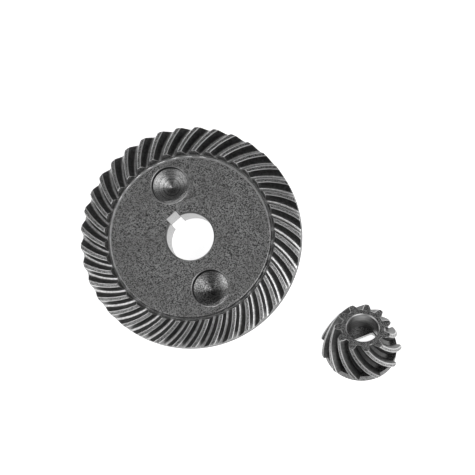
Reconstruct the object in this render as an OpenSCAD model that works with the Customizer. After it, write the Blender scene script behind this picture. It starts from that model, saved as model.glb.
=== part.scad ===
// Spiral bevel gear pair: 37-tooth crown wheel and 11-tooth pinion, shafts at 90 degrees.
// Both tooth forms are spherical involutes on one common circular-arc lengthwise curve,
// so the two gears really roll together.
// Frame: origin on the crown wheel's axis, at the underside of its thrust washer; +Z up
// along the wheel's axis, teeth facing +Z. At rest the pinion lies beside the wheel.

/* [Teeth] */
// Outer transverse module of the pair
module_e = 1.5; // [1.4:0.01:1.5]
// Extra gap cut between the teeth at the outer pitch line (backlash)
backlash = 0.24; // [0.2:0.02:0.4]
// Tooth thickness of the crown wheel at its outer pitch line, before backlash
wheel_tooth_w = 2.10; // [2.0:0.05:2.3]
// Radius of the cutter that sweeps the curved teeth
cutter_r = 20.65; // [19:0.05:26]

/* [Crown wheel] */
// Diameter over the crown wheel's teeth
wheel_od = 56.3; // [55.8:0.1:56.6]
// Diameter of the raised inner disc
disc_d = 41.4; // [40:0.1:41.4]
// Length of the wheel's bore, from the disc face to the back of the hub
hub_len = 10; // [9:0.5:12]
// Diameter of the hub boss on the back
hub_d = 30; // [26:0.5:34]
// Bore for the output spindle
wheel_bore = 12; // [10:0.5:13]
// Width of the keyway
key_w = 3.2; // [3:0.1:3.4]
// Distance from the axis to the keyway's bottom
key_reach = 7.4; // [7.2:0.1:7.8]
// Direction of the keyway round the axis
key_angle = 132; // [120:1:145]
// Diameter of each spindle-lock pocket
pocket_d = 9.2; // [8:0.1:9.4]
// Distance of a pocket's centre from the axis
pocket_r = 14.2; // [13.6:0.1:14.4]
// Depth of a pocket's straight wall
pocket_depth = 2.1; // [1.5:0.1:2.4]
// Depth of the drill-point cone under that wall
pocket_dish = 2.7; // [1.5:0.1:2.8]

/* [Pinion] */
// Distance from the cone apex to the pinion's flat small end
pinion_front = 20.85; // [20.85:0.05:21.2]
// Length of the pinion's teeth along its axis
pinion_face = 8.7; // [7.8:0.1:9]
// Diameter over the teeth at the small end
pinion_tip_front = 14.5; // [14.2:0.1:14.8]
// Diameter over the teeth at the large end
pinion_tip_back = 20.8; // [20:0.1:21.2]
// Bore for the motor shaft
pinion_bore = 8; // [7:0.5:8]
// Length of the pinion's bore
pinion_len = 10.8; // [10:0.1:11.4]
// Depth at which the half-moon drive web begins, from the small end
flat_from = 5.8; // [5:0.1:5.8]
// Depth at which the drive web ends, from the small end
flat_to = 6.6; // [6.4:0.1:7.4]
// Distance of the web's straight edge from the bore's axis
flat_reach = 1.0; // [0.8:0.05:1.6]
// Diameter of the round side of the opening beside the web, a little less than the bore
dee_d = 7.6; // [7:0.1:7.8]
// Diameter of the tapered mouth just behind the web
relief_d = 8.4; // [8:0.1:9]
// Diameter of the tapered mouth at the back of the pinion
mouth_d = 11.8; // [11:0.1:12]
// Diameter of the collar behind the teeth
collar_d = 18.2; // [17:0.1:20]

/* [Thrust washers] */
// Thickness of both washers
washer_t = 0.5; // [0.4:0.1:0.8]
// Running gap between a gear and its washer
washer_gap = 0.05; // [0.04:0.01:0.1]
// Inner diameter of the wheel's washer (clears the keyway)
wheel_washer_id = 16; // [15.6:0.1:18]
// Outer diameter of the wheel's washer
wheel_washer_od = 28; // [24:0.5:30]
// Inner diameter of the pinion's washer
pinion_washer_id = 12.2; // [12:0.1:12.6]
// Outer diameter of the pinion's washer
pinion_washer_od = 15.4; // [14.6:0.1:15.5]

/* [Hidden] */
$fn = 96;
overlap = 0.01; // joins one cut to the next
past = 1;       // how far a through cut runs past a face

// ---- tooth geometry shared by both gears ----
wheel_count = 37;
pinion_count = 11;
// pitch, base, root and tip cone angles; the pinion's tip cone follows its diameters
wheel_pitch = atan2(wheel_count, pinion_count);
pinion_pitch = 90 - wheel_pitch;
pressure_angle = 23.96;
wheel_base = asin(sin(wheel_pitch) * cos(pressure_angle));
pinion_base = asin(sin(pinion_pitch) * cos(pressure_angle));
wheel_root = 69.30;
wheel_tip = 74.90;
pinion_root = 14.60;
// tooth thicknesses at the outer pitch line
wheel_thick = wheel_tooth_w - backlash / 2;
pinion_thick = PI * module_e - wheel_tooth_w - backlash / 2;
// mean cone distance, and the spiral angle there
mean_dist = 25.4;
spiral_angle = 34.1;
// azimuth of the first tooth at the mean cone distance
wheel_phase = 5.95;
pinion_phase = 0;

function lerp(a, b, t) = a + (b - a) * t;
function polar(radius, azimuth, z) = [radius * cos(azimuth), radius * sin(azimuth), z];

// Lengthwise curve: the cutter's arc in the developed pitch plane, its centre this far
// from the apex. curve_turn is its polar angle from the mean point.
cutter_dist = sqrt(mean_dist * mean_dist + cutter_r * cutter_r
                   - 2 * mean_dist * cutter_r * sin(spiral_angle));
function arc_angle(dist) =
    acos((dist * dist + cutter_dist * cutter_dist - cutter_r * cutter_r)
         / (2 * dist * cutter_dist));
mean_angle = arc_angle(mean_dist);
function curve_turn(dist) = arc_angle(dist) - mean_angle;

// spherical involute: azimuth swept from the base cone to a given cone angle
function involute(cone, base) = cone <= base + 0.001 ? 0
    : acos(min(1, cos(cone) / cos(base))) / sin(base)
      - acos(min(1, tan(base) / tan(cone)));

// Columns of one tooth, from the middle of the space before it to just short of the
// middle of the space after it: [side, height up the flank, share of the root land].
// Side is -1 or +1 for a flank and 0 for the centre line; height is 0 on the root cone
// and 1 at the tip.
WHEEL_COLUMNS = [
    [-1, 0, 1], [-1, 0, 0.45], [-1, 0.10, 0], [-1, 0.40, 0], [-1, 0.72, 0], [-1, 1, 0],
    [1, 1, 0], [1, 0.72, 0], [1, 0.40, 0], [1, 0.10, 0], [1, 0, 0.45]];
PINION_COLUMNS = [
    [-1, 0, 1], [-1, 0, 0.55], [-1, 0.07, 0.12], [-1, 0.2, 0], [-1, 0.35, 0],
    [-1, 0.5, 0], [-1, 0.65, 0], [-1, 0.8, 0], [-1, 0.92, 0], [-1, 1, 0], [0, 1, 0],
    [1, 1, 0], [1, 0.92, 0], [1, 0.8, 0], [1, 0.65, 0], [1, 0.5, 0], [1, 0.35, 0],
    [1, 0.2, 0], [1, 0.07, 0.12], [1, 0, 0.55]];

// azimuth of a column from its tooth's centre line
function column_azimuth(column, cone, pitch, base, thick, count) =
    let (half = (180 / PI) * thick / (module_e * count)
                + involute(pitch, base) - involute(cone, base))
    column[0] * lerp(half, 180 / count, column[2]);

// triangles joining each ring of points to the next; with bands = rings the last
// ring joins the first
function skin(rings, columns, bands) =
    [for (k = [0 : bands - 1]) for (n = [0 : columns - 1])
        let (next_n = (n + 1) % columns,
             row = k * columns,
             next_row = ((k + 1) % rings) * columns)
        each [[row + n, row + next_n, next_row + next_n],
              [row + n, next_row + next_n, next_row + n]]];

// ---- parts used by both gears ----
// 45 degree bevel cut on the upper edge of a hole, its face at z = 0
module bevel(radius, depth, over) {
    translate([0, 0, -depth])
        cylinder(h = depth + over, r1 = radius, r2 = radius + depth + over);
}

module washer(outer_d, inner_d) {
    difference() {
        cylinder(h = washer_t, d = outer_d);
        translate([0, 0, -past]) cylinder(h = washer_t + 2 * past, d = inner_d);
    }
}

// ---- crown wheel; depths are measured down from the cone apex ----
hub_z = washer_t + washer_gap;
disc_z = hub_z + hub_len;
apex_z = disc_z + 6.85;
// the teeth's outer ends lie on a cone: wheel_r at heel_depth, narrowing downwards
wheel_r = wheel_od / 2;
heel_depth = 7.54;
heel_slope = 0.065;
// their inner ends lie square to the pitch cone, at this distance along it
toe_dist = 22.6;
wheel_steps = 7;
// outer and inner feet of the tooth ring, buried in the body: [radius, depth]
heel_foot = [wheel_r - 0.24, 11.75];
toe_foot = [21.36, 9.5];

hub_bevel = 0.5;
hub_flare = 0.6;
back_depth = 13.7;
rim_r = wheel_r - 0.15;
disc_round = 0.45;
core_r = 3; // the bore removes the body's inner edge
// outside of the body from the back of the rim up to the disc: [radius, depth]
RIM_OUTLINE = [
    [26.2, back_depth], [rim_r, 11.9], [rim_r, 10.95], [27.2, 10.95],
    [21.9, 8.95], [21.5, 8.2], [disc_d / 2, 8.2]];

bore_bevel = 0.4;
bore_over = 0.2;
pocket_bevel = 0.25;
pocket_over = 0.1;
pocket_angles = [112, 292];

function heel_dist(cone) =
    (wheel_r + heel_depth * heel_slope) / (sin(cone) + heel_slope * cos(cone));

// point of a tooth column, 0 to 1 along from toe to heel, or the foot at its azimuth
function wheel_point(tooth, column, along, foot) =
    let (cone = lerp(wheel_root, wheel_tip, column[1]),
         dist = lerp(toe_dist / cos(cone - wheel_pitch), heel_dist(cone), along),
         azimuth = wheel_phase + tooth * 360 / wheel_count
             + curve_turn(dist) / sin(wheel_pitch)
             + column_azimuth(column, cone, wheel_pitch, wheel_base,
                              wheel_thick, wheel_count))
    foot == undef ? polar(dist * sin(cone), azimuth, apex_z - dist * cos(cone))
        : polar(foot[0], azimuth, apex_z - foot[1]);

module wheel_teeth() {
    // rings of points: [place along the tooth, foot]
    rings = concat([for (k = [0 : wheel_steps]) [k / wheel_steps, undef]],
                   [[1, heel_foot], [0, toe_foot]]);
    points = [for (ring = rings) for (i = [0 : wheel_count - 1])
        for (column = WHEEL_COLUMNS) wheel_point(i, column, ring[0], ring[1])];
    polyhedron(points = points,
               faces = skin(len(rings), wheel_count * len(WHEEL_COLUMNS), len(rings)),
               convexity = 10);
}

module wheel_body() {
    hub_r = hub_d / 2;
    rotate_extrude($fn = 180)
    polygon(concat(
        [[core_r, hub_z], [hub_r - hub_bevel, hub_z], [hub_r, hub_z + hub_bevel],
         [hub_r, apex_z - back_depth - hub_flare],
         [hub_r + hub_flare, apex_z - back_depth]],
        [for (p = RIM_OUTLINE) [p[0], apex_z - p[1]]],
        [for (q = [0 : 15 : 90])
            [disc_d / 2 - disc_round + disc_round * cos(q),
             disc_z - disc_round + disc_round * sin(q)]],
        [[core_r, disc_z]]));
}

module wheel_bore_cut() {
    radius = wheel_bore / 2;
    width = bore_bevel + bore_over;
    translate([0, 0, -past]) cylinder(h = disc_z + 3 * past, d = wheel_bore);
    translate([0, 0, disc_z]) bevel(radius, bore_bevel, bore_over);
    translate([0, 0, hub_z - bore_over])
        cylinder(h = width, r1 = radius + width, r2 = radius);
    rotate([0, 0, key_angle]) translate([0, -key_w / 2, -past])
        cube([key_reach, key_w, disc_z + 3 * past]);
}

// pocket cut, the disc's face at z = 0
module pocket() {
    translate([0, 0, -pocket_depth]) cylinder(h = pocket_depth + past, d = pocket_d);
    translate([0, 0, -pocket_depth - pocket_dish])
        cylinder(h = pocket_dish + overlap, r1 = 0, r2 = pocket_d / 2);
    bevel(pocket_d / 2, pocket_bevel, pocket_over);
}

module crown_wheel() {
    color("dimgray")
    difference() {
        union() {
            wheel_body();
            wheel_teeth();
        }
        wheel_bore_cut();
        for (q = pocket_angles)
            rotate([0, 0, q]) translate([pocket_r, 0, disc_z]) pocket();
    }
}

// ---- pinion, in its own frame: apex at the origin, small end towards +Z ----
teeth_end = pinion_front + pinion_face;
// the teeth's outer corner at the large end is turned off
corner_drop = 0.25;
corner_slope = 1.1;
// stations along the teeth: evenly spaced up to last_even, then the large end
pinion_stations = 12;
last_even = 0.973;
// radii of the inner rings that close the two ends, inside the teeth
front_ring_r = 4.85;
back_ring_r = 5.6;
ring_count = 2 * pinion_count;

collar_bevel = 0.25;
collar_tail = 0.15; // how far the collar reaches into the teeth
flat_angle = 83.5;
min_web_step = 0.2; // least difference between the bore and the web's opening
edge_bevel = 0.3;
edge_over = 0.2;

// tip radius at distance x from the apex along the axis
function tip_radius(x) = min(
    lerp(pinion_tip_front, pinion_tip_back, (x - pinion_front) / pinion_face) / 2,
    pinion_tip_back / 2 - corner_drop + (teeth_end - x) * corner_slope);

// point of a tooth column, 0 to 1 along from the small end to the large end
function pinion_point(tooth, column, along) =
    let (x = pinion_front + pinion_face * along,
         cone = lerp(pinion_root, atan(tip_radius(x) / x), column[1]),
         azimuth = pinion_phase + tooth * 360 / pinion_count
             - curve_turn(x / cos(cone)) / sin(pinion_pitch)
             + column_azimuth(column, cone, pinion_pitch, pinion_base,
                              pinion_thick, pinion_count))
    polar(x * tan(cone), azimuth, -x);

function end_ring(radius, x) =
    [for (m = [0 : ring_count - 1])
        polar(radius, pinion_phase - curve_turn(x) / sin(pinion_pitch)
              + (m + 0.5) * 360 / ring_count - 180 / pinion_count, -x)];

// faces of the large end: triangles from the tooth outline, whose points start at
// index outer, to the inner ring, which starts at index inner, and the ring's cap
function end_faces(outer, inner, columns) =
    let (share = columns / ring_count)
    concat(
        [for (n = [0 : columns - 1])
            let (next_n = (n + 1) % columns, m = floor(n / share),
                 next_m = floor(next_n / share))
            each concat([[outer + n, outer + next_n, inner + m]],
                m == next_m ? [] : [[outer + next_n, inner + next_m, inner + m]])],
        [[for (m = [0 : ring_count - 1]) inner + m]]);

function flipped(faces) =
    [for (face = faces) [for (k = [len(face) - 1 : -1 : 0]) face[k]]];

module pinion_teeth() {
    columns = pinion_count * len(PINION_COLUMNS);
    even = pinion_stations - 1;
    stations = concat([for (k = [0 : even]) k / even * last_even], [1]);
    rings = len(stations);
    grid = [for (along = stations) for (i = [0 : pinion_count - 1])
        for (column = PINION_COLUMNS) pinion_point(i, column, along)];
    front = rings * columns;
    polyhedron(
        points = concat(grid, end_ring(front_ring_r, pinion_front),
                        end_ring(back_ring_r, teeth_end)),
        faces = concat(
            skin(rings, columns, rings - 1),
            flipped(end_faces(0, front, columns)),
            end_faces((rings - 1) * columns, front + ring_count, columns)),
        convexity = 10);
}

// places children at a depth from the small end
module at_depth(depth) {
    translate([0, 0, -pinion_front - depth]) children();
}

module collar() {
    cylinder(h = collar_bevel, d1 = collar_d - 2 * collar_bevel, d2 = collar_d);
    translate([0, 0, collar_bevel])
        cylinder(h = pinion_len - pinion_face - collar_bevel + collar_tail, d = collar_d);
}

// D-shaped opening that leaves the half-moon web across the bore
module web_opening() {
    difference() {
        cylinder(h = flat_to - flat_from + 2 * overlap,
                 d = min(dee_d, pinion_bore - min_web_step));
        rotate([0, 0, flat_angle]) translate([flat_reach, -pinion_bore, -past])
            cube([pinion_bore, 2 * pinion_bore, flat_to + 4 * past]);
    }
}

module pinion_body() {
    difference() {
        union() {
            pinion_teeth();
            at_depth(pinion_len) collar();
        }
        at_depth(flat_from) cylinder(h = flat_from + past, d = pinion_bore);
        at_depth(flat_to + overlap) web_opening();
        at_depth(pinion_len)
            cylinder(h = pinion_len - flat_to, d1 = mouth_d, d2 = relief_d);
        at_depth(0) bevel(pinion_bore / 2, edge_bevel, edge_over);
        at_depth(pinion_len + edge_over)
            cylinder(h = edge_bevel + edge_over,
                     r1 = mouth_d / 2 + 0.5, r2 = mouth_d / 2 - 0.1);
    }
}

// pose at rest: centre of the small end, tilt of the axis, its direction, roll about it
pinion_at = [44.6727, -24.0930, 13.6828];
pinion_lean = 27.8386;
pinion_dir = 68.7464;
pinion_roll = -34.1433;
module at_rest() {
    translate(pinion_at) rotate([0, 0, pinion_dir]) rotate([0, pinion_lean, 0])
        rotate([0, 0, pinion_roll]) translate([0, 0, pinion_front]) children();
}

module pinion() {
    color("slategray") at_rest() pinion_body();
}

// ---- thrust washers ----
module wheel_thrust_washer() {
    color("silver") washer(wheel_washer_od, wheel_washer_id);
}

module pinion_thrust_washer() {
    color("silver") at_rest() at_depth(pinion_len + washer_gap + washer_t)
        washer(pinion_washer_od, pinion_washer_id);
}

crown_wheel();
pinion();
wheel_thrust_washer();
pinion_thrust_washer();
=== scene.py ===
"""Spiral bevel gear pair: a crown wheel, a pinion and a thrust washer under each.

The crown wheel lies flat, its axis on +Z and its teeth upwards, above its washer on the floor.
The pinion is built round its own Z axis, with the apex of its cones at the origin and its teeth
below, and is then posed beside the wheel. Lengths are in mm, scaled to metres at the end, except
where metres are named. Angles are in degrees.
"""
import math

import bmesh
import bpy
import numpy as np
from mathutils import Matrix, Vector


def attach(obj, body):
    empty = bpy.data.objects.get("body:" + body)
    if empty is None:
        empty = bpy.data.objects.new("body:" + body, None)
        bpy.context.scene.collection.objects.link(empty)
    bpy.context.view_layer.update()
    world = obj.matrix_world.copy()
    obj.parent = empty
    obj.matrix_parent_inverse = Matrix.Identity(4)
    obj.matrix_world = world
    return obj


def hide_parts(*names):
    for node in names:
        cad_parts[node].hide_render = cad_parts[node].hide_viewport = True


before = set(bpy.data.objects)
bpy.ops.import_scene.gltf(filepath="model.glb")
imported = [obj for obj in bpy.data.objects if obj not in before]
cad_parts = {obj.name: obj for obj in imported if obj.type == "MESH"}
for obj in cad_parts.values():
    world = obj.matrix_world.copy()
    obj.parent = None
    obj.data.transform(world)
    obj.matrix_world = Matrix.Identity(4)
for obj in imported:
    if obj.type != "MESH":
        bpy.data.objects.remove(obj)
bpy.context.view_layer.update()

MM = 0.001
D2R = math.pi / 180

# ------------------------------------------------------------------ driving dimensions
WHEEL_TEETH, PINION_TEETH = 37, 11
MODULE, BACKLASH, TOOTH_WIDTH = 1.5, 0.24, 2.10
CUTTER_RADIUS = 20.65                     # the arc that the teeth follow
MEAN_DISTANCE = 25.4                      # apex to mid tooth, along the pitch cone
SPIRAL_ANGLE, PRESSURE_ANGLE = 34.1, 23.96
WHEEL_PITCH = math.degrees(math.atan2(WHEEL_TEETH, PINION_TEETH))
PINION_PITCH = 90 - WHEEL_PITCH

WASHER_THICK, WASHER_GAP = 0.5, 0.05
HUB_Z = WASHER_THICK + WASHER_GAP         # underside of the wheel's hub
DISC_Z = HUB_Z + 10                       # top of the wheel's disc
APEX_Z = DISC_Z + 6.85
WHEEL_ROOT, WHEEL_TIP = 69.30, 74.90      # cone angles
TOE_DISTANCE = 22.6                       # small ends of the teeth, apex to pitch cone
HEEL_RADIUS, HEEL_DEPTH = 28.15, 7.54     # large ends: a radius, and its depth below the apex
HEEL_TAPER = 0.065                        # radius lost per mm of further depth
RIM_RADIUS = 28.0
DISC_RADIUS, DISC_ROUND = 20.70, 0.45
GROOVE_Z = 9.20                           # floor of the groove between disc and teeth
RING_STEPS = 180
WHEEL_END_ROUND = 0.13
KEY_HALF_WIDTH, KEY_REACH, KEY_AZIMUTH = 1.6, 7.4, 132
POCKET_CIRCLE, POCKET_AZIMUTH = 14.2, 112
POCKET_RADIUS, POCKET_DEPTH, POCKET_CONE = 4.6, 2.1, 2.7

PINION_TOE, PINION_FACE, PINION_LENGTH = 20.85, 8.7, 10.8
PINION_HEEL = PINION_TOE + PINION_FACE
TOE_Z = -PINION_TOE
BACK_Z = TOE_Z - PINION_LENGTH
PINION_ROOT = 14.60
TOE_TIP_DIAMETER, HEEL_TIP_DIAMETER = 14.36, 20.66
PINION_END_ROUND = 0.10
PINION_BORE = 4.0                         # radius
FLAT_FROM, FLAT_TO = 5.8, 6.6             # depths of the D-shaped hole below the toe end
PINION_PLACE = (44.6727, -24.0930, 13.6828)
PINION_TURN, PINION_TILT, PINION_ROLL = 68.7464, 27.8386, -34.1433

BENDS = (90, 67, 45, 22)                  # steps round the rounded tooth ends
FLANK_HEIGHTS = (0.18, 0.32, 0.46, 0.60, 0.74, 0.88)


# ------------------------------------------------------------------ profiles
def cosd(a):
    return np.cos(np.asarray(a, float) * D2R)


def sind(a):
    return np.sin(np.asarray(a, float) * D2R)


def tand(a):
    return np.tan(np.asarray(a, float) * D2R)


def arc_corner(before, corner, after, radius, steps):
    """steps + 1 points of the arc that rounds a corner between its two neighbours."""
    before, corner, after = (np.array(p, float) for p in (before, corner, after))
    a, b = before - corner, after - corner
    a /= np.linalg.norm(a)
    b /= np.linalg.norm(b)
    inner = math.acos(max(-1, min(1, float(a @ b))))
    setback = radius / math.tan(inner / 2)
    middle = a + b
    middle /= np.linalg.norm(middle)
    centre = corner + middle * (radius / math.sin(inner / 2))
    start, end = corner + a * setback - centre, corner + b * setback - centre
    span = math.pi - inner
    out = []
    for k in range(steps + 1):
        q = span * k / steps
        out.append(centre + (start * math.sin(span - q) + end * math.sin(q)) / math.sin(span))
    return out


def turned(points):
    """A profile of [r, z] points; an entry [r, z, radius, steps] is a rounded corner."""
    out = []
    for i, p in enumerate(points):
        if len(p) == 2:
            out.append(np.array(p, float))
        else:
            after = points[(i + 1) % len(points)]
            out += arc_corner(points[i - 1][:2], p[:2], after[:2], p[2], p[3])
    return out


def rotated(points, angle):
    c, s = math.cos(angle * D2R), math.sin(angle * D2R)
    return [(x * c - y * s, x * s + y * c) for x, y in points]


# ------------------------------------------------------------------ mesh building
class Mesher:
    """Collects vertices with per-vertex values of finish, painted light and painted shade, and
    faces.
    """

    KEYS = ("land", "edge", "root", "dark", "bore", "pocket")

    def __init__(self):
        self.verts, self.faces = [], []
        self.finish = {key: [] for key in self.KEYS}

    def add(self, points, **finish):
        start, n = len(self.verts), len(points)
        self.verts.extend([tuple(p) for p in points])
        for key in self.KEYS:
            x = finish.get(key, 0.0)
            self.finish[key].extend([float(x)] * n if np.isscalar(x) else [float(y) for y in x])
        return list(range(start, start + n))

    def circle(self, r, z, angles, centre=(0, 0), **finish):
        x, y = centre[0] + r * cosd(angles), centre[1] + r * sind(angles)
        return self.add(np.c_[x, y, np.full(len(angles), z)], **finish)

    def loft(self, rows, flip=False):
        """Quads between neighbouring closed rings of the same length."""
        for A, B in zip(rows, rows[1:]):
            if flip:
                A, B = B, A
            n = len(A)
            for i in range(n):
                j = (i + 1) % n
                self.faces.append((A[i], A[j], B[j], B[i]))

    def zipper(self, A, angles_a, B, angles_b):
        """Triangles between two closed rings of different lengths, matched by rising angle."""
        na, nb = len(A), len(B)
        ends_a = list(angles_a) + [angles_a[0] + 360]
        ends_b = list(angles_b) + [angles_b[0] + 360]
        i = j = 0
        while i < na or j < nb:
            if j >= nb or (i < na and ends_a[i + 1] <= ends_b[j + 1]):
                self.faces.append((A[i % na], A[(i + 1) % na], B[j % nb]))
                i += 1
            else:
                self.faces.append((A[i % na], B[(j + 1) % nb], B[j % nb]))
                j += 1

    def cap(self, ring, centre, flip=False, **finish):
        c = self.add([centre], **finish)[0]
        n = len(ring)
        for i in range(n):
            j = (i + 1) % n
            self.faces.append((ring[j], ring[i], c) if flip else (ring[i], ring[j], c))

    def build(self, name):
        """Makes the object, with all faces reversed if the volume comes out negative."""
        me = bpy.data.meshes.new(name)
        verts = np.array(self.verts, float)
        volume = 0.0
        for face in self.faces:
            p = verts[list(face)]
            for k in range(1, len(face) - 1):
                volume += float(np.dot(p[0], np.cross(p[k], p[k + 1])))
        faces = self.faces if volume > 0 else [tuple(reversed(f)) for f in self.faces]
        me.from_pydata(self.verts, [], faces)
        for key in self.KEYS:
            layer = me.attributes.new(key, "FLOAT", "POINT")
            layer.data.foreach_set("value", np.array(self.finish[key], np.float32))
        me.update()
        ob = bpy.data.objects.new(name, me)
        bpy.context.scene.collection.objects.link(ob)
        return ob

    def build_outward(self, name):
        """Makes the object with every face direction agreed, outwards."""
        ob = self.build(name)
        bm = bmesh.new()
        bm.from_mesh(ob.data)
        bmesh.ops.recalc_face_normals(bm, faces=bm.faces)
        if bm.calc_volume(signed=True) < 0:
            bmesh.ops.reverse_faces(bm, faces=bm.faces)
        bm.to_mesh(ob.data)
        bm.free()
        return ob


def revolve(name, profile, steps):
    """A closed ring body from a closed profile of [r, z], none of it on the axis."""
    m = Mesher()
    angles = np.arange(steps) * 360 / steps
    rows = [m.circle(r, z, angles) for r, z in profile]
    m.loft(rows + rows[:1])
    return m.build(name)


def plug(name, profile, steps, centre=(0, 0), **finish):
    """A solid tool from a profile of [r, z] that starts and ends on the axis."""
    m = Mesher()
    angles = np.arange(steps) * 360 / steps
    rows = [m.circle(r, z, angles, centre, **finish) for r, z in profile if r > 1e-6]
    m.loft(rows)
    m.cap(rows[0], (*centre, profile[0][1]), flip=True, **finish)
    m.cap(rows[-1], (*centre, profile[-1][1]), **finish)
    return m.build(name)


def prism(name, loops, heights, **finish):
    """A solid from a stack of polygons with the same number of corners."""
    m = Mesher()
    rows = [m.add(np.c_[np.array(loop, float), np.full(len(loop), z)], **finish)
            for loop, z in zip(loops, heights)]
    m.loft(rows)
    for end, flip in ((0, True), (-1, False)):
        c = np.mean(np.array(loops[end], float), 0)
        m.cap(rows[end], (c[0], c[1], heights[end]), flip=flip, **finish)
    return m.build(name)


def boolean(ob, tool, operation):
    """Applies a tool object to ob, and removes the tool."""
    mod = ob.modifiers.new("cut", "BOOLEAN")
    mod.operation, mod.object, mod.solver = operation, tool, "MANIFOLD"
    dg = bpy.context.evaluated_depsgraph_get()
    dg.update()
    me = bpy.data.meshes.new_from_object(ob.evaluated_get(dg))
    # the manifold solver gives an empty mesh where it finds a part not closed
    if len(me.polygons) < 10:
        mod.solver = "EXACT"
        dg.update()
        me = bpy.data.meshes.new_from_object(ob.evaluated_get(dg))
    ob.modifiers.clear()
    old = ob.data
    ob.data = me
    bpy.data.meshes.remove(old)
    bpy.data.objects.remove(tool)


# ------------------------------------------------------------------ mesh finishing
SLIVER = 0.0005
SHARP_ANGLE = 33.0


def close_slivers(me):
    """Closes the hair-thin slivers that cutting leaves along its seams."""
    bm = bmesh.new()
    bm.from_mesh(me)
    bmesh.ops.remove_doubles(bm, verts=bm.verts, dist=SLIVER)
    bm.to_mesh(me)
    bm.free()


def crisp_flats(me, pose):
    """Marks the borders of faces square to the part's axis as sharp, so they shade flat."""
    axis = pose.to_3x3() @ Vector((0, 0, 1))
    normals = np.zeros(len(me.polygons) * 3, np.float32)
    me.polygons.foreach_get("normal", normals)
    flat = np.abs(normals.reshape(-1, 3) @ np.array(axis, np.float32)) > 0.99995
    layer = me.attributes.get("sharp_edge") or me.attributes.new("sharp_edge", "BOOLEAN", "EDGE")
    sharp = np.zeros(len(me.edges), bool)
    layer.data.foreach_get("value", sharp)
    owner = np.zeros(len(me.loops), np.int32)
    me.loops.foreach_get("edge_index", owner)
    size = np.zeros(len(me.polygons), np.int32)
    me.polygons.foreach_get("loop_total", size)
    # an edge with just one flat face beside it is a border
    weights = np.repeat(flat, size).astype(float)
    flats_beside = np.bincount(owner, weights=weights, minlength=len(me.edges))
    sharp |= np.abs(flats_beside - 1) < 0.5
    layer.data.foreach_set("value", sharp)


def finish_mesh(ob, pose=Matrix()):
    """Stores each vertex's place on its own part, poses and scales the mesh, and shades it."""
    me = ob.data
    close_slivers(me)
    co = np.zeros(len(me.vertices) * 3, np.float32)
    me.vertices.foreach_get("co", co)
    me.attributes.new("loc", "FLOAT_VECTOR", "POINT").data.foreach_set("vector", co)
    m = np.array(pose)
    co = co.reshape(-1, 3).astype(float) @ m[:3, :3].T + m[:3, 3]
    me.vertices.foreach_set("co", (co * MM).astype(np.float32).ravel())
    me.shade_smooth()
    me.set_sharp_from_angle(angle=SHARP_ANGLE * D2R)
    crisp_flats(me, pose)
    me.update()
    mod = ob.modifiers.new("normals", "WEIGHTED_NORMAL")
    mod.keep_sharp, mod.mode, mod.weight = True, "FACE_AREA", 60
    dg = bpy.context.evaluated_depsgraph_get()
    dg.update()
    new = bpy.data.meshes.new_from_object(ob.evaluated_get(dg), preserve_all_data_layers=True,
                                          depsgraph=dg)
    ob.modifiers.clear()
    ob.data = new
    bpy.data.meshes.remove(me)
    ob.data.name = ob.name


# ------------------------------------------------------------------ tooth form
CUTTER_OFFSET = math.sqrt(MEAN_DISTANCE ** 2 + CUTTER_RADIUS ** 2
                          - 2 * MEAN_DISTANCE * CUTTER_RADIUS * math.sin(SPIRAL_ANGLE * D2R))


def cutter_angle(distance):
    """Angle at the apex between the cutter's centre and the tooth, in the unrolled cone."""
    return np.degrees(np.arccos((distance * distance + CUTTER_OFFSET ** 2 - CUTTER_RADIUS ** 2)
                                / (2 * distance * CUTTER_OFFSET)))


MEAN_CUTTER_ANGLE = float(cutter_angle(MEAN_DISTANCE))


def involute(cone, base):
    """Spherical involute: turn round the axis at a cone angle, from a base cone."""
    cone = np.asarray(cone, float)
    safe = np.maximum(cone, base + 0.001)
    rolled = np.degrees(np.arccos(np.minimum(1, cosd(safe) / cosd(base)))) / sind(base)
    turned_back = np.degrees(np.arccos(np.minimum(1, tand(base) / tand(safe))))
    return np.where(cone <= base + 0.001, 0.0, rolled - turned_back)


# kind of every point of a tooth section, in order, and the finish of each kind
SIDE_KINDS = ["root"] * 2 + ["fillet"] * 3 + ["flank"] * len(FLANK_HEIGHTS) + ["edge"] * 5
KINDS = ["root"] + SIDE_KINDS + ["land"] * 3 + SIDE_KINDS[::-1]
# the edge finish on the rounded tooth tips is wear with a painted highlight
KIND_FINISH = {
    "root": dict(root=1.0), "fillet": dict(root=0.35, dark=0.3), "flank": dict(dark=1.0),
    "edge": dict(edge=1.0, land=0.6), "land": dict(land=1.0),
}
TOOTH_FINISH = {key: np.array([KIND_FINISH[kind].get(key, 0.0) for kind in KINDS])
                for key in Mesher.KEYS}


def worn_and_highlit_finish(wear_and_highlight):
    # raises the edge value: wear with a painted highlight
    return {**TOOTH_FINISH, "edge": np.maximum(TOOTH_FINISH["edge"], wear_and_highlight)}


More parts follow.
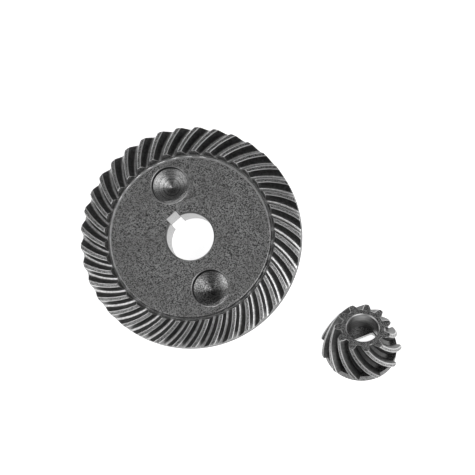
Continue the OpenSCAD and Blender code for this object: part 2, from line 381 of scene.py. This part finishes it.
class ToothForm:
    """The teeth of one gear. Cone angles are measured at the apex, from the gear's axis."""

    def __init__(self, teeth, pitch, root, mid_cone, width, root_round, tip_round, hand, phase):
        self.teeth, self.pitch, self.root, self.mid_cone = teeth, pitch, root, mid_cone
        self.width, self.root_round, self.tip_round = width, root_round, tip_round
        self.hand, self.phase = hand, phase
        self.base = math.degrees(math.asin(math.sin(pitch * D2R)
                                           * math.cos(PRESSURE_ANGLE * D2R)))
        self.turn = 360 / teeth

    def half_width(self, cone):
        """Half the tooth's angle round the axis at a cone angle."""
        return (math.degrees(self.width / (MODULE * self.teeth))
                + involute(self.pitch, self.base) - involute(cone, self.base))

    def azimuth(self, distance):
        """Azimuth of the first tooth's middle at a distance from the apex."""
        sweep = cutter_angle(distance) - MEAN_CUTTER_ANGLE
        return self.phase + self.hand * sweep / math.sin(self.pitch * D2R)

    def section(self, distance, tip, inset=0.0):
        """One tooth's section, set inwards by inset: angles round the axis and cone angles."""
        across = distance * math.sin(self.mid_cone * D2R) * D2R
        along = distance * D2R
        half_pitch = 180 / self.teeth

        def point(angle, height):
            return np.array([angle * across, (tip - self.root) * height * along])

        def side_points(side):
            def flank(h):
                cone = self.root + (tip - self.root) * h
                return point(side * float(self.half_width(cone)), h)
            return (arc_corner(point(side * half_pitch, 0), flank(0), flank(0.16),
                               self.root_round, 4)
                    + [flank(h) for h in FLANK_HEIGHTS]
                    + arc_corner(flank(0.9), flank(1), point(0, 1), self.tip_round, 4))

        land = [point(q * float(self.half_width(tip)), 1) for q in (-0.5, 0.0, 0.5)]
        points = np.array([point(-half_pitch, 0)] + side_points(-1) + land
                          + side_points(1)[::-1])
        pitch_step = [self.turn * across, 0]
        before = np.vstack([points[-1] - pitch_step, points[:-1]])
        after = np.vstack([points[1:], points[0] + pitch_step])
        tangent = after - before
        tangent /= np.linalg.norm(tangent, axis=1)[:, None]
        points = points + np.c_[tangent[:, 1], -tangent[:, 0]] * inset
        return points[:, 0] / across, self.root + points[:, 1] / along

    def row(self, m, radius, azimuth, z, finish):
        """One tooth's section repeated round the gear."""
        row = []
        for i in range(self.teeth):
            az = azimuth + i * self.turn
            row += m.add(np.c_[radius * cosd(az), radius * sind(az), z], **finish)
        return row

    def foot_azimuths(self, distance, angles):
        """Azimuths for a plain circle beside the teeth, spread evenly over each tooth."""
        angles = angles.copy()
        angles[1:] = np.linspace(angles[1], angles[-1], len(angles) - 1)
        start = float(self.azimuth(distance))
        return np.concatenate([start + angles + i * self.turn for i in range(self.teeth)])


WHEEL_FORM = ToothForm(WHEEL_TEETH, WHEEL_PITCH, WHEEL_ROOT,
                       mid_cone=(WHEEL_ROOT + WHEEL_TIP) / 2, width=TOOTH_WIDTH - BACKLASH / 2,
                       root_round=0.30, tip_round=0.13, hand=1, phase=5.95)
PINION_FORM = ToothForm(PINION_TEETH, PINION_PITCH, PINION_ROOT, mid_cone=17.2,
                        width=math.pi * MODULE - TOOTH_WIDTH - BACKLASH / 2,
                        root_round=0.34, tip_round=0.14, hand=-1, phase=0)


# ------------------------------------------------------------------ crown wheel
def toe_distance(cone):
    return TOE_DISTANCE / cosd(cone - WHEEL_PITCH)


def heel_distance(cone):
    return (HEEL_RADIUS + HEEL_DEPTH * HEEL_TAPER) / (sind(cone) + HEEL_TAPER * cosd(cone))


def wheel_tooth_rows(m):
    # (end: -1 toe, 0 between, 1 heel; share of the face; bend of the rounded end; inset)
    # the first and last rows lie just inside the end faces, where the wear and painted highlight of
    # the edge have ended
    inside = 0.05
    stations = [(-1, 0.0, 90, inside)] + [(-1, 0.0, bend, 0.0) for bend in BENDS] \
        + [(0, share, 0, 0.0) for share in np.linspace(0, 1, 22)] \
        + [(1, 1.0, bend, 0.0) for bend in BENDS[::-1]] + [(1, 1.0, 90, inside)]
    rows = []
    for end, share, bend, inset in stations:
        mean = float((1 - share) * toe_distance(WHEEL_PITCH) + share * heel_distance(WHEEL_PITCH))
        inset_round = WHEEL_END_ROUND * (1 - math.cos(bend * D2R))
        angles, cone = WHEEL_FORM.section(mean, WHEEL_TIP, inset_round + inset)
        shift = WHEEL_END_ROUND * (1 - math.sin(bend * D2R))
        toe, heel = toe_distance(cone), heel_distance(cone)
        distance = (toe + shift) * (1 - share) + (heel - shift) * share
        # the toe ends carry wear and a painted highlight, the heel ends less; the rows just inside
        # the heel ends carry painted shade
        if inset:
            finish = dict(dark=0.9) if end > 0 else {}
        elif end:
            finish = worn_and_highlit_finish((0.9 if bend < 80 else 0.4) * (1.0 if end < 0 else 0.35))
        else:
            finish = TOOTH_FINISH
        rows.append(WHEEL_FORM.row(m, distance * sind(cone), WHEEL_FORM.azimuth(distance) + angles,
                                   APEX_Z - distance * cosd(cone), finish))
    m.loft(rows)
    return rows


def foot_azimuths(distance):
    return WHEEL_FORM.foot_azimuths(distance, WHEEL_FORM.section(distance, WHEEL_TIP)[0])


def make_wheel():
    m = Mesher()
    rows = wheel_tooth_rows(m)

    # toe side: down to the groove (radius, z, root finish, here painted light against the groove's
    # shade), then fine rings over the disc
    toe_az = foot_azimuths(22.64)
    toe_rings = [m.circle(r, z, toe_az, root=root) for r, z, root in
                 ((21.235, 9.30, 0.45), (21.15, 9.215, 0.55), (21.08, GROOVE_Z, 0.55))]
    m.loft([rows[0]] + toe_rings, flip=True)
    top_az = toe_az[0] + np.arange(RING_STEPS) * 360 / RING_STEPS
    # the disc's rounded edge carries a painted highlight, strongest on the +Y side, over a little
    # wear all round
    rim_highlight_and_wear = 0.12 + 0.88 * np.clip(0.5 + 0.9 * cosd(top_az - 105), 0, 1)
    top_rings = []
    for r, z in turned([[21.00, GROOVE_Z], [DISC_RADIUS, GROOVE_Z, 0.14, 4],
                        [DISC_RADIUS, DISC_Z, DISC_ROUND, 9], [19.9, DISC_Z], [4.0, DISC_Z]]):
        rounded = z > DISC_Z - DISC_ROUND - 0.05 and r > DISC_RADIUS - DISC_ROUND - 0.01
        # rings in the groove take part of the light root grey, as painted light against the groove's
        # shade
        top_rings.append(m.circle(r, z, top_az, root=0.45 if z < GROOVE_Z + 0.1 else 0.0,
                                  edge=rim_highlight_and_wear if rounded else 0.0))
    m.zipper(toe_rings[-1], toe_az, top_rings[0], top_az)

    # heel side: from the teeth to the rim, then round the back
    heel_az = foot_azimuths(29.86)
    # the rim beside the heel ends is painted dark: painted shade
    heel_rings = [m.circle(r, z, heel_az, dark=0.9) for r, z in
                  ((27.975, 6.62), (RIM_RADIUS, 6.50), (RIM_RADIUS, 6.30))]
    m.loft([rows[-1]] + heel_rings)
    back_az = heel_az[0] + np.arange(RING_STEPS) * 360 / RING_STEPS
    back = turned([[RIM_RADIUS, 6.05], [RIM_RADIUS, 5.50, 0.22, 3], [26.2, 3.70, 0.5, 4],
                   [15.0, 3.70, 0.8, 6], [15.0, HUB_Z, 0.4, 5], [4.0, HUB_Z]])
    # the rim's outer face is painted dark: painted shade
    back_rings = [m.circle(r, z, back_az, dark=0.9 if r > 27.5 else 0.0) for r, z in back]
    m.loft(back_rings)
    m.loft(top_rings, flip=True)
    m.zipper(heel_rings[-1], heel_az, back_rings[0], back_az)
    # a plain tube closes the inside, to be cut away by the bore
    m.zipper(back_rings[-1], back_az, top_rings[-1], top_az)
    return m.build_outward("crown_wheel_gear")


def key_loop(grow):
    """Outline of the keyway, widened by grow."""
    w, x = KEY_HALF_WIDTH + grow, KEY_REACH + grow
    points = [(-2, -w)] + arc_corner((0, -w), (x, -w), (x, 0), 0.22, 4) \
        + arc_corner((x, 0), (x, w), (0, w), 0.22, 4) + [(-2, w)]
    return rotated(points, KEY_AZIMUTH)


def pocket_profile():
    """A cone-bottomed pocket with concentric tool marks and a chamfered mouth."""
    floor_z = DISC_Z - POCKET_DEPTH
    out = [[0.0, floor_z - POCKET_CONE]]
    for r in np.arange(0.06, 4.56, 0.045):
        ripple = 0.0035 * math.sin(r * 19.0) + 0.0030 * math.sin(r * 11.3 + 1.0) \
            + 0.0016 * math.sin(r * 41.0 + 0.5)
        out.append([r, floor_z - POCKET_CONE * (1 - r / POCKET_RADIUS) + ripple])
    # radius, height above the disc
    mouth = ((POCKET_RADIUS, -0.27), (4.63, -0.22), (4.80, -0.05), (4.90, 0.0), (5.3, 0.3),
             (5.3, 1.2), (0, 1.2))
    return out + [[POCKET_RADIUS, floor_z + 0.02]] + [[r, DISC_Z + z] for r, z in mouth]


def cut_wheel(wheel):
    bore = turned([[0, -1], [7.0, -1], [6.95, 0.05], [6.40, 0.60, 0.08, 2], [6.0, 0.97, 0.08, 2],
                   [6.0, 10.13, 0.08, 2], [6.42, DISC_Z, 0.08, 2], [6.98, 11.05], [7.0, 12.5],
                   [0, 12.5]])
    boolean(wheel, plug("t_bore", bore, 144, bore=1.0), "DIFFERENCE")
    # keyway: growth of the outline, height
    keyway = ((0.5, HUB_Z - 0.42), (0.12, HUB_Z), (0, HUB_Z + 0.12),
              (0, DISC_Z - 0.12), (0.12, DISC_Z), (0.5, DISC_Z + 0.4))
    boolean(wheel, prism("t_key", [key_loop(grow) for grow, _ in keyway],
                         [z for _, z in keyway], bore=1.0), "DIFFERENCE")
    for az in (POCKET_AZIMUTH, POCKET_AZIMUTH + 180):
        centre = (POCKET_CIRCLE * math.cos(az * D2R), POCKET_CIRCLE * math.sin(az * D2R))
        boolean(wheel, plug("t_pocket", pocket_profile(), 112, centre=centre, pocket=1.0),
                "DIFFERENCE")


wheel = make_wheel()
cut_wheel(wheel)
finish_mesh(wheel)


# ------------------------------------------------------------------ pinion, in its own frame
def tip_radius(x):
    """Tip radius at x from the apex, chamfered off next to the heel."""
    grown = (HEEL_TIP_DIAMETER - TOE_TIP_DIAMETER) * (x - PINION_TOE) / PINION_FACE
    return min((TOE_TIP_DIAMETER + grown) / 2,
               HEEL_TIP_DIAMETER / 2 - 0.25 + (PINION_HEEL - x) * 1.1)


def make_pinion():
    m = Mesher()
    er = PINION_END_ROUND
    round_ends = [(er * (1 - math.sin(bend * D2R)), bend) for bend in BENDS]
    # (distance from the apex along the axis, bend of the rounded end, inset)
    inside = 0.06
    stations = [(PINION_TOE, 90, inside)] + [(PINION_TOE + dx, bend, 0.0) for dx, bend in round_ends]
    stations += [(x, 0, 0.0) for x in np.linspace(PINION_TOE + er, PINION_HEEL - 0.35, 30)]
    stations += [(PINION_HEEL - dx, 0, 0.0) for dx in (0.24, 0.16, er)]
    stations += [(PINION_HEEL - dx, bend, 0.0) for dx, bend in round_ends[::-1]]
    stations += [(PINION_HEEL, 90, inside)]
    rows, row_angles = [], []
    for x, bend, inset in stations:
        tip = math.degrees(math.atan(tip_radius(x) / x))
        angles, cone = PINION_FORM.section(x / math.cos(17 * D2R), tip,
                                           er * (1 - math.cos(bend * D2R)) + inset)
        # the rounded tooth ends carry wear and a painted highlight
        if inset:
            finish = {}
        elif bend:
            finish = worn_and_highlit_finish(0.8 if bend < 80 else 0.3)
        else:
            finish = TOOTH_FINISH
        rows.append(PINION_FORM.row(m, x * tand(cone), PINION_FORM.azimuth(x / cosd(cone)) + angles,
                                    np.full(len(angles), -x), finish))
        row_angles.append(angles)
    m.loft(rows)

    def end_circles(x, angles, radii):
        azimuths = PINION_FORM.foot_azimuths(x / cosd(PINION_ROOT), angles)
        return [m.circle(r, -x, azimuths) for r in radii]

    toe = end_circles(PINION_TOE, row_angles[0], (4.9, 1.5))
    heel = end_circles(PINION_HEEL, row_angles[-1], (5.8, 1.5))
    m.loft([rows[0]] + toe, flip=True)
    m.loft([rows[-1]] + heel)
    m.cap(toe[-1], (0, 0, TOE_Z))
    m.cap(heel[-1], (0, 0, -PINION_HEEL))
    return m.build_outward("pinion_gear_part")


def pinion_bore_profile():
    """The round bore from the toe end, with fine ripples and a broken edge."""
    out = [[0, TOE_Z - FLAT_FROM], [PINION_BORE, TOE_Z - FLAT_FROM]]
    for k in range(1, 116):
        z = TOE_Z - (FLAT_FROM - 0.02) + k * 0.0465
        ripple = 0.0026 * math.sin(z * 16.0) + 0.0016 * math.sin(z * 31.0 + 1.3)
        out.append([PINION_BORE + ripple, z])
    # radius, height above the toe end
    mouth = ((PINION_BORE, -0.33), (4.03, -0.27), (4.27, -0.03), (4.34, 0.02), (4.6, 0.3),
             (4.6, 2), (0, 2))
    return out + [[r, TOE_Z + z] for r, z in mouth]


def d_loop(radius, flat, steps=72):
    """A circle cut off by a flat at the given distance from its centre."""
    half = math.degrees(math.acos(flat / radius))
    return rotated([(radius * math.cos(q * D2R), radius * math.sin(q * D2R))
                    for q in np.linspace(half, 360 - half, steps)], 83.5)


def cut_pinion(pinion):
    collar_z = -PINION_HEEL + 0.15
    collar = turned([[0, BACK_Z], [9.1, BACK_Z, 0.36, 6], [9.1, collar_z], [0, collar_z]])
    boolean(pinion, plug("t_collar", collar, 144), "UNION")
    boolean(pinion, plug("t_bore2", pinion_bore_profile(), 128, bore=1.0), "DIFFERENCE")
    # D-shaped hole: radius, distance of the flat, depth below the toe end
    dee = ((3.8, 1.0, FLAT_TO + 0.1), (3.8, 1.0, FLAT_TO - 0.1), (3.8, 1.0, FLAT_FROM + 0.06),
           (3.85, 1.05, FLAT_FROM), (3.95, 1.15, FLAT_FROM - 0.1))
    boolean(pinion, prism("t_dee", [d_loop(radius, flat) for radius, flat, _ in dee],
                          [TOE_Z - depth for _, _, depth in dee], bore=1.0), "DIFFERENCE")
    mouth = turned([[0, BACK_Z - 1], [6.9, BACK_Z - 1], [6.2, BACK_Z - 0.02],
                    [5.86, BACK_Z + 0.3, 0.08, 2], [4.2, TOE_Z - FLAT_TO, 0.1, 3],
                    [0, TOE_Z - FLAT_TO]])
    boolean(pinion, plug("t_mouth", mouth, 128, bore=1.0), "DIFFERENCE")


pinion = make_pinion()
cut_pinion(pinion)
pinion_pose = Matrix.Translation(PINION_PLACE) @ Matrix.Rotation(PINION_TURN * D2R, 4, "Z") \
    @ Matrix.Rotation(PINION_TILT * D2R, 4, "Y") @ Matrix.Rotation(PINION_ROLL * D2R, 4, "Z") \
    @ Matrix.Translation((0, 0, PINION_TOE))
finish_mesh(pinion, pinion_pose)


# ------------------------------------------------------------------ thrust washers
def make_washer(name, inner, outer, bottom, steps):
    top = bottom + WASHER_THICK
    return revolve(name, turned([[inner, bottom, 0.1, 3], [outer, bottom, 0.12, 3],
                                 [outer, top, 0.12, 3], [inner, top, 0.1, 3]]), steps)


wheel_washer = make_washer("wheel_washer_ring", inner=8.0, outer=14.0, bottom=0.0, steps=160)
finish_mesh(wheel_washer)
pinion_washer = make_washer("pinion_washer_ring", inner=6.1, outer=7.7,
                            bottom=BACK_Z - WASHER_GAP - WASHER_THICK, steps=128)
finish_mesh(pinion_washer, pinion_pose)


# ------------------------------------------------------------------ materials
def grey(value, warm=0.0):
    return (value * (1 + warm), value, value * (1 - warm), 1.0)


class Nodes:
    """A few shorthands for building a node tree."""

    def __init__(self, name):
        self.mat = bpy.data.materials.new(name)
        self.mat.use_nodes = True
        self.tree = self.mat.node_tree
        self.tree.nodes.clear()

    def node(self, kind, inputs, **props):
        node = self.tree.nodes.new(kind)
        for key, value in props.items():
            setattr(node, key, value)
        for key, value in inputs.items():
            if isinstance(value, bpy.types.NodeSocket):
                self.tree.links.new(value, node.inputs[key])
            else:
                node.inputs[key].default_value = value
        return node

    def attr(self, name, output="Fac"):
        return self.node("ShaderNodeAttribute", {}, attribute_name=name).outputs[output]

    def separate(self, vector):
        return self.node("ShaderNodeSeparateXYZ", {0: vector}).outputs

    def math(self, operation, a, b=0.0, clamp=False):
        return self.node("ShaderNodeMath", {0: a, 1: b, 2: 0.0}, operation=operation,
                         use_clamp=clamp).outputs[0]

    def clamped(self, x):
        return self.math("MULTIPLY", x, 1.0, clamp=True)

    def weighted(self, a, b, a_part, b_part):
        a, b = self.math("MULTIPLY", a, a_part), self.math("MULTIPLY", b, b_part)
        return self.math("ADD", a, b)

    def radius(self, x, y):
        squares = self.math("MULTIPLY", x, x), self.math("MULTIPLY", y, y)
        return self.math("SQRT", self.math("ADD", *squares))

    def smooth(self, x, low, high, to_low=0.0, to_high=1.0, kind="SMOOTHSTEP"):
        """Maps low..high to to_low..to_high."""
        return self.node("ShaderNodeMapRange", {
            "Value": x, "From Min": low, "From Max": high, "To Min": to_low, "To Max": to_high,
        }, interpolation_type=kind).outputs["Result"]

    def linear(self, x, low, high, to_low=0.0, to_high=1.0):
        return self.smooth(x, low, high, to_low, to_high, kind="LINEAR")

    def mix(self, factor, a, b, weight=None):
        if weight is not None:
            factor = self.math("MULTIPLY", factor, weight)
        return self.node("ShaderNodeMix", {0: factor, 6: a, 7: b}, data_type="RGBA").outputs[2]

    def between(self, factor, shade, dark, light):
        """A grey between two multiples of a shade."""
        return self.mix(factor, grey(shade * dark), grey(shade * light))

    def mix_value(self, factor, a, b):
        return self.node("ShaderNodeMix", {0: factor, 2: a, 3: b}, data_type="FLOAT").outputs[0]

    def noise(self, vector, scale, detail, rough=0.55):
        return self.node("ShaderNodeTexNoise", {
            "Vector": vector, "Scale": scale, "Detail": detail, "Roughness": rough,
        }, noise_dimensions="3D").outputs["Fac"]

    def lines(self, position, scale, detail):
        return self.node("ShaderNodeTexNoise", {"W": position, "Scale": scale, "Detail": detail},
                         noise_dimensions="1D").outputs["Fac"]

    def cells(self, vector, scale):
        return self.node("ShaderNodeTexVoronoi", {"Vector": vector, "Scale": scale},
                         feature="F1").outputs["Distance"]

    def bump(self, strength, distance, height):
        return self.node("ShaderNodeBump", {
            "Strength": strength, "Distance": distance, "Height": height}).outputs[0]

    def surface(self, inputs):
        shader = self.node("ShaderNodeBsdfPrincipled", inputs)
        self.node("ShaderNodeOutputMaterial", {0: shader.outputs[0]})
        return self.mat


def tooth_colours(k, base, loc, fine, masks, land, root, flank):
    """Lays speckled lands, then streaked roots and flanks, over the body colour."""
    a_land, a_root, a_dark = masks
    land_grey = k.between(k.linear(fine, low=0.40, high=0.60), land, dark=0.35, light=1.60)
    base = k.mix(a_land, base, land_grey)
    stretched = k.node("ShaderNodeVectorMath", {0: loc, 1: (1.0, 1.0, 0.35)},
                       operation="MULTIPLY").outputs[0]
    streak = k.noise(stretched, scale=1.8, detail=4.0, rough=0.6)
    root_grey = k.between(k.smooth(streak, low=0.3, high=0.7), root, dark=0.70, light=1.15)
    base = k.mix(k.clamped(a_root), base, root_grey)
    # the dark mask gives the flanks their grey, and with it paints shade on the wheel's rim and
    # beside the heel ends
    flank_and_painted_shade_grey = k.between(k.smooth(streak, low=0.25, high=0.75), flank, dark=0.70, light=1.40)
    return k.mix(k.clamped(a_dark), base, flank_and_painted_shade_grey)


def pocket_colour(k, place, fine, pocket, edge):
    """Rings centred on each pocket, with painted shade on their walls and a painted highlight on
    their chamfers.
    """
    x = POCKET_CIRCLE * math.cos(POCKET_AZIMUTH * D2R)
    y = POCKET_CIRCLE * math.sin(POCKET_AZIMUTH * D2R)
    side = k.math("SIGN", place[1])
    dx = k.math("SUBTRACT", place[0], k.math("MULTIPLY", side, x))
    dy = k.math("SUBTRACT", place[1], k.math("MULTIPLY", side, y))
    radius = k.radius(dx, dy)
    rings = k.linear(k.lines(radius, scale=2.6, detail=3.0), low=0.38, high=0.62)
    specks = k.linear(fine, low=0.40, high=0.60)
    colour = k.between(k.weighted(rings, specks, a_part=0.50, b_part=0.50), pocket,
                       dark=0.30, light=1.80)
    # the pocket on the -Y side is duller and more speckled, with a painted highlight towards +X
    second = k.math("LESS_THAN", place[1], 0.0)
    dull = k.between(k.linear(fine, low=0.44, high=0.60), pocket, dark=0.12, light=1.05)
    colour = k.mix(second, colour, dull, weight=0.75)
    painted_lobe_highlight = k.between(k.linear(fine, low=0.40, high=0.60), pocket, dark=0.9, light=3.0)
    colour = k.mix(second, colour, painted_lobe_highlight,
                   weight=k.smooth(dx, low=1.4, high=3.4, to_low=0.0, to_high=0.8))
    # the straight wall in painted shade, then the chamfer with a painted highlight
    colour = k.mix(k.smooth(radius, low=4.50, high=4.585), colour, grey(pocket * 0.30))
    return k.mix(k.smooth(radius, low=4.62, high=4.70), colour, grey(edge * 0.52))


def gear_steel(name, body, land, root, flank, edge, bore, pocket, roughness):
    """Blasted steel with machined zones; all but roughness are the zones' grey levels."""
    k = Nodes(name)
    loc = k.attr("loc", "Vector")
    a_land, a_edge, a_root, a_dark = (k.attr(x) for x in ("land", "edge", "root", "dark"))
    # faces cut by a tool carry its value at every corner; their neighbours only at the rim
    a_bore, a_pocket = (k.math("GREATER_THAN", k.attr(x), 0.995) for x in ("bore", "pocket"))

    # blasted grain: fine specks over a softer mottle, with a slow drift and pits
    fine = k.noise(loc, scale=4.3, detail=1.0, rough=0.5)
    mid = k.noise(loc, scale=1.5, detail=3.0, rough=0.6)
    soft = k.noise(loc, scale=0.11, detail=3.0, rough=0.5)
    pits = k.smooth(k.cells(loc, scale=1.1), low=0.0, high=0.24, to_low=1.0, to_high=0.0)
    grain = k.weighted(k.linear(fine, low=0.38, high=0.62), k.linear(mid, low=0.38, high=0.62),
                       a_part=0.86, b_part=0.14)
    base = k.between(grain, body, dark=0.10, light=1.90)
    base = k.mix(k.smooth(soft, low=0.38, high=0.62), base, grey(body * 0.78, warm=0.01),
                 weight=0.30)
    base = k.mix(pits, base, grey(body * 0.42), weight=0.16)

    base = tooth_colours(k, base, loc, fine, (a_land, a_root, a_dark), land, root, flank)
    place = k.separate(loc)
    base = k.mix(a_pocket, base, pocket_colour(k, place, fine, pocket, edge))
    # machined bore walls, lightened as painted light against the shade inside the holes
    rings = k.lines(place[2], scale=3.4, detail=4.0)
    bore_grey_with_painted_light = k.between(k.smooth(rings, low=0.35, high=0.65), bore, dark=0.75, light=1.2)
    base = k.mix(a_bore, base, bore_grey_with_painted_light)
    # worn edges, made brighter still by a painted highlight
    patchy = k.linear(mid, low=0.2, high=0.6, to_low=0.75, to_high=1.05)
    wear_and_highlight = k.smooth(k.math("MULTIPLY", a_edge, patchy), low=0.2, high=0.85)
    base = k.mix(wear_and_highlight, base, grey(edge))

    # roughness swings with the grain, and each zone has its own
    swing = 0.14
    rough = k.math("ADD", roughness - swing / 2, k.math("MULTIPLY", grain, swing))
    for mask, zone_rough in ((a_dark, 0.46), (a_land, 0.36), (a_root, 0.33), (a_bore, 0.36),
                             (a_pocket, 0.36), (wear_and_highlight, 0.34)):
        rough = k.mix_value(mask, rough, zone_rough)

    # machined zones lose most of the bump; pits are pressed a little into it
    machined_loss, pit_depth = 0.75, 0.25
    machined = k.math("MAXIMUM", a_dark, k.math("MAXIMUM", a_root, a_bore))
    strength = k.math("SUBTRACT", 1.0, k.math("MULTIPLY", machined, machined_loss))
    height = k.math("SUBTRACT", k.weighted(fine, mid, a_part=0.8, b_part=0.8),
                    k.math("MULTIPLY", pits, pit_depth))
    return k.surface({"Base Color": base, "Metallic": 1.0, "Roughness": rough,
                      "Normal": k.bump(strength, distance=0.000045, height=height)})


def washer_steel(name):
    """Turned steel with fine rings round the axis."""
    k = Nodes(name)
    loc = k.attr("loc", "Vector")
    place = k.separate(loc)
    rings = k.lines(k.radius(place[0], place[1]), scale=6.0, detail=5.0)
    fine = k.noise(loc, scale=4.0, detail=3.0)
    base = k.between(k.smooth(rings, low=0.3, high=0.7), 1.0, dark=0.42, light=0.62)
    base = k.mix(k.smooth(fine, low=0.4, high=0.7), base, grey(0.32), weight=0.4)
    return k.surface({"Base Color": base, "Metallic": 1.0,
                      "Roughness": k.mix_value(fine, 0.28, 0.42),
                      "Normal": k.bump(strength=0.6, distance=0.00001, height=rings)})


def floor_paper():
    """Pale paper that glows a little, to stay nearly white."""
    k = Nodes("floor_paper")
    place = k.node("ShaderNodeTexCoord", {}).outputs["Object"]
    paper = k.noise(place, scale=300.0, detail=3.0)
    return k.surface({"Base Color": k.between(paper, 1.0, dark=0.80, light=0.84),
                      "Roughness": 0.9, "Emission Color": grey(1.0), "Emission Strength": 0.86})


def paint(ob, mat):
    ob.data.materials.clear()
    ob.data.materials.append(mat)


# edge greys are wear with a painted highlight, bore greys are raised as painted light inside the
# holes, and the flank grey also paints shade on the wheel's rim
wheel_mat = gear_steel("wheel_steel_finish", body=0.322, land=0.27, root=0.62, flank=0.15,
                       edge=0.74, bore=0.45, pocket=0.29, roughness=0.44)
pinion_mat = gear_steel("pinion_steel_finish", body=0.17, land=0.26, root=0.07, flank=0.12,
                        edge=0.55, bore=0.42, pocket=0.2, roughness=0.42)
washer_mat = washer_steel("washer_steel_finish")

for ob, mat, body, node, slot in (
    (wheel, wheel_mat, "wheel", "crown_wheel", "wheel_steel"),
    (pinion, pinion_mat, "pinion_gear", "pinion", "pinion_steel"),
    (wheel_washer, washer_mat, "wheel_seat", "wheel_thrust_washer", "washer_steel"),
    (pinion_washer, washer_mat, "pinion_seat", "pinion_thrust_washer", "washer_steel"),
):
    paint(ob, mat)
    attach(ob, body)
    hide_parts(node)
    paint(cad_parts[node], mat)


# ------------------------------------------------------------------ floor, in metres
def make_floor(half=12.0, cells=24, z=-0.00002):
    """A square grid just under z = 0."""
    me = bpy.data.meshes.new("floor")
    ticks = [-half + 2 * half * i / cells for i in range(cells + 1)]
    row = cells + 1
    corners = [j * row + i for j in range(cells) for i in range(cells)]
    me.from_pydata([(x, y, z) for y in ticks for x in ticks], [],
                   [(c, c + 1, c + row + 1, c + row) for c in corners])
    ob = bpy.data.objects.new("floor", me)
    bpy.context.scene.collection.objects.link(ob)
    me.materials.append(floor_paper())
    return ob


make_floor()

# ------------------------------------------------------------------ world and lights, in metres
world = bpy.data.worlds.new("studio")
bpy.context.scene.world = world
world.use_nodes = True
background = world.node_tree.nodes["Background"]
background.inputs["Color"].default_value = grey(1.0)
background.inputs["Strength"].default_value = 0.20

LIGHT_AIM = Vector((0.012, -0.003, 0.006))
LIGHT_DISTANCE = 0.9


def softbox(name, azimuth, elevation, width, height, power):
    light = bpy.data.lights.new(name, "AREA")
    light.shape, light.size, light.size_y, light.energy = "RECTANGLE", width, height, power
    ob = bpy.data.objects.new(name, light)
    az, el = azimuth * D2R, elevation * D2R
    away = Vector((math.cos(az) * math.cos(el), math.sin(az) * math.cos(el), math.sin(el)))
    ob.location = LIGHT_AIM + away * LIGHT_DISTANCE
    ob.rotation_mode = "QUATERNION"
    ob.rotation_quaternion = away.to_track_quat("Z", "Y")
    bpy.context.scene.collection.objects.link(ob)
    ob.visible_camera = False


softbox("soft_east", azimuth=-22, elevation=47, width=0.80, height=0.55, power=3.3)
softbox("soft_west", azimuth=207, elevation=40, width=0.75, height=0.60, power=1.85)
softbox("soft_north", azimuth=118, elevation=15, width=1.3, height=0.18, power=3.4)

# ------------------------------------------------------------------ camera
VIEW_WIDTH = 120.040435                   # mm across the picture, at the target
VIEW_RIGHT, VIEW_UP = 12.0, -0.253        # mm from the middle of the disc's top to the target
CAMERA_DISTANCE = 3.0                     # metres: far off, with a long lens

# rows of the view matrix are the camera's right, up and back directions
view = Vector((0, 0, 1)).rotation_difference(Vector((-0.142, 0.142, 0.98)).normalized()).to_matrix()
right, up, back = (Vector(row) for row in view)
target = Vector((0, 0, DISC_Z * MM)) + right * (VIEW_RIGHT * MM) + up * (VIEW_UP * MM)
lens = bpy.data.cameras.new("camera")
lens.sensor_fit, lens.sensor_width = "HORIZONTAL", 36.0
lens.lens = 36.0 * CAMERA_DISTANCE / (VIEW_WIDTH * MM)
lens.clip_start, lens.clip_end = 0.1, 50
camera = bpy.data.objects.new("camera", lens)
camera.matrix_world = Matrix.Translation(target + back * CAMERA_DISTANCE) \
    @ view.transposed().to_4x4()
bpy.context.scene.collection.objects.link(camera)
bpy.context.scene.camera = camera

bpy.context.scene.view_settings.view_transform = "Standard"
